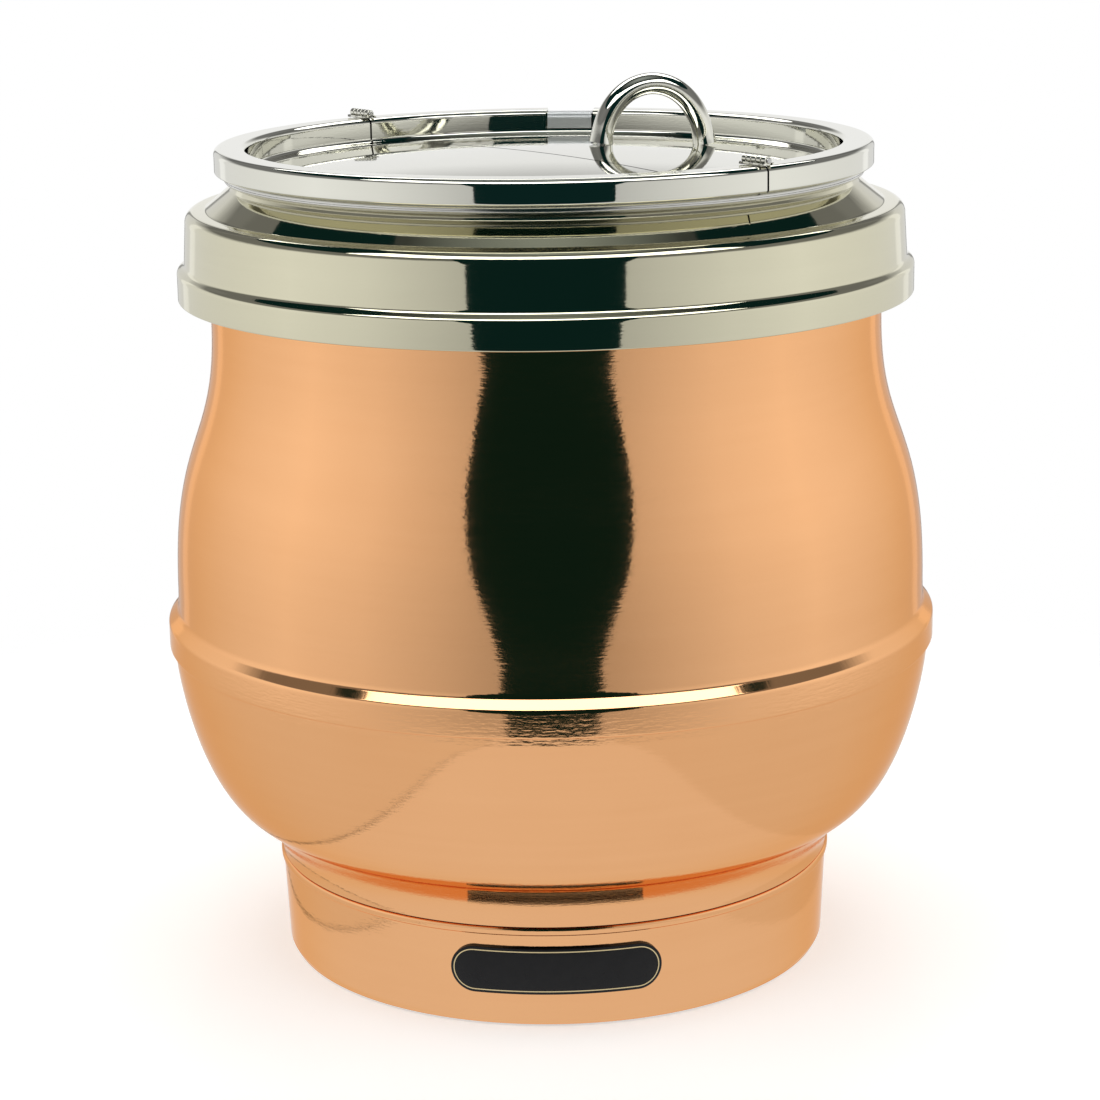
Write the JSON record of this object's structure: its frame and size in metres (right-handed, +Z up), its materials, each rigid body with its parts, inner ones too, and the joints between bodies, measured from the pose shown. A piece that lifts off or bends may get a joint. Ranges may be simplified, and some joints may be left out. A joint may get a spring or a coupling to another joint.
{
  "type": "soup kettle",
  "caption": "Round copper wet-heat soup kettle with a lift-out pot, a steel adaptor ring and a hinged fold-back lid with an arched handle.",
  "frame": {"origin": "on the kettle's axis at the floor, under the feet", "axes": "+Z up through the lid, -Y is the badge side (front), +X to the right seen from the front"},
  "size_m": [0.3418, 0.3418, 0.386],
  "materials": {
    "copper": "polished copper, lacquered",
    "badge": "gloss black enamel",
    "zinc": "zinc-plated steel",
    "rubber": "matte",
    "black_plastic": "fine satin",
    "cream_plastic": "matte",
    "amber_lens": "gloss",
    "dull_steel": "satin stainless",
    "pot_steel": "spun stainless",
    "aluminium": "mill",
    "brass": "drawn",
    "ring_steel": "polished stainless",
    "lid_steel": "mirror-polished stainless",
    "satin_steel": "satin"
  },
  "bodies": {
    "body": {"base_ring": "copper", "lower_bowl": "copper", "upper_shell": "copper", "badge_plate": "badge", "base_plate": "zinc", "foot_1": "rubber", "foot_2": "rubber", "foot_3": "rubber", "foot_4": "rubber", "pillar_1": "zinc", "pillar_2": "zinc", "pillar_3": "zinc", "bowl_screw_1": "zinc", "bowl_screw_2": "zinc", "bowl_screw_3": "zinc", "plate_screw_1": "zinc", "plate_screw_2": "zinc", "plate_screw_3": "zinc", "control_panel": "black_plastic", "control_bush": "zinc", "bush_nut": "zinc", "thermostat": "cream_plastic", "power_lamp": "amber_lens", "cable_gland": "black_plastic", "gland_locknut": "black_plastic", "terminal_block": "cream_plastic", "water_pan": "dull_steel", "heating_element": "dull_steel", "heat_spreader": "aluminium", "spreader_stud": "zinc", "spreader_nut": "zinc", "thermal_cutout": "black_plastic", "sensor_bulb": "brass", "capillary_tube": "brass"},
    "knob": {"control_knob": "black_plastic", "knob_shaft": "dull_steel"},
    "ring": {"adaptor_ring": "ring_steel"},
    "pot": {"soup_pot": "pot_steel"},
    "lid": {"lid_fixed_half": "lid_steel", "fixed_leaf_left": "lid_steel", "fixed_leaf_right": "lid_steel", "hinge_pin_left": "dull_steel", "hinge_pin_right": "dull_steel"},
    "flap": {"lid_flap_half": "lid_steel", "rim_sleeve": "satin_steel", "lid_handle": "lid_steel", "handle_screw_1": "dull_steel", "handle_screw_2": "dull_steel", "flap_leaf_left": "lid_steel", "flap_leaf_right": "lid_steel"}
  },
  "joints": [
    {"name": "ring_lift", "type": "slide", "parent": "body", "child": "ring", "axis": [0, 0, 1], "range_m": [0, 0.08]},
    {"name": "pot_lift", "type": "slide", "parent": "ring", "child": "pot", "axis": [0, 0, 1], "range_m": [0, 0.24]},
    {"name": "lid_lift", "type": "slide", "parent": "pot", "child": "lid", "axis": [0, 0, 1], "range_m": [0, 0.1]},
    {"name": "flap_hinge", "type": "hinge", "parent": "lid", "child": "flap", "pos_m": [0, 0, 0.3645], "axis": [0.6247, -0.7809, 0], "range_deg": [0, 155]},
    {"name": "knob_turn", "type": "hinge", "parent": "body", "child": "knob", "pos_m": [0, 0.13, 0.024], "axis": [0, 1, 0], "range_deg": [0, 270]}
  ]
}
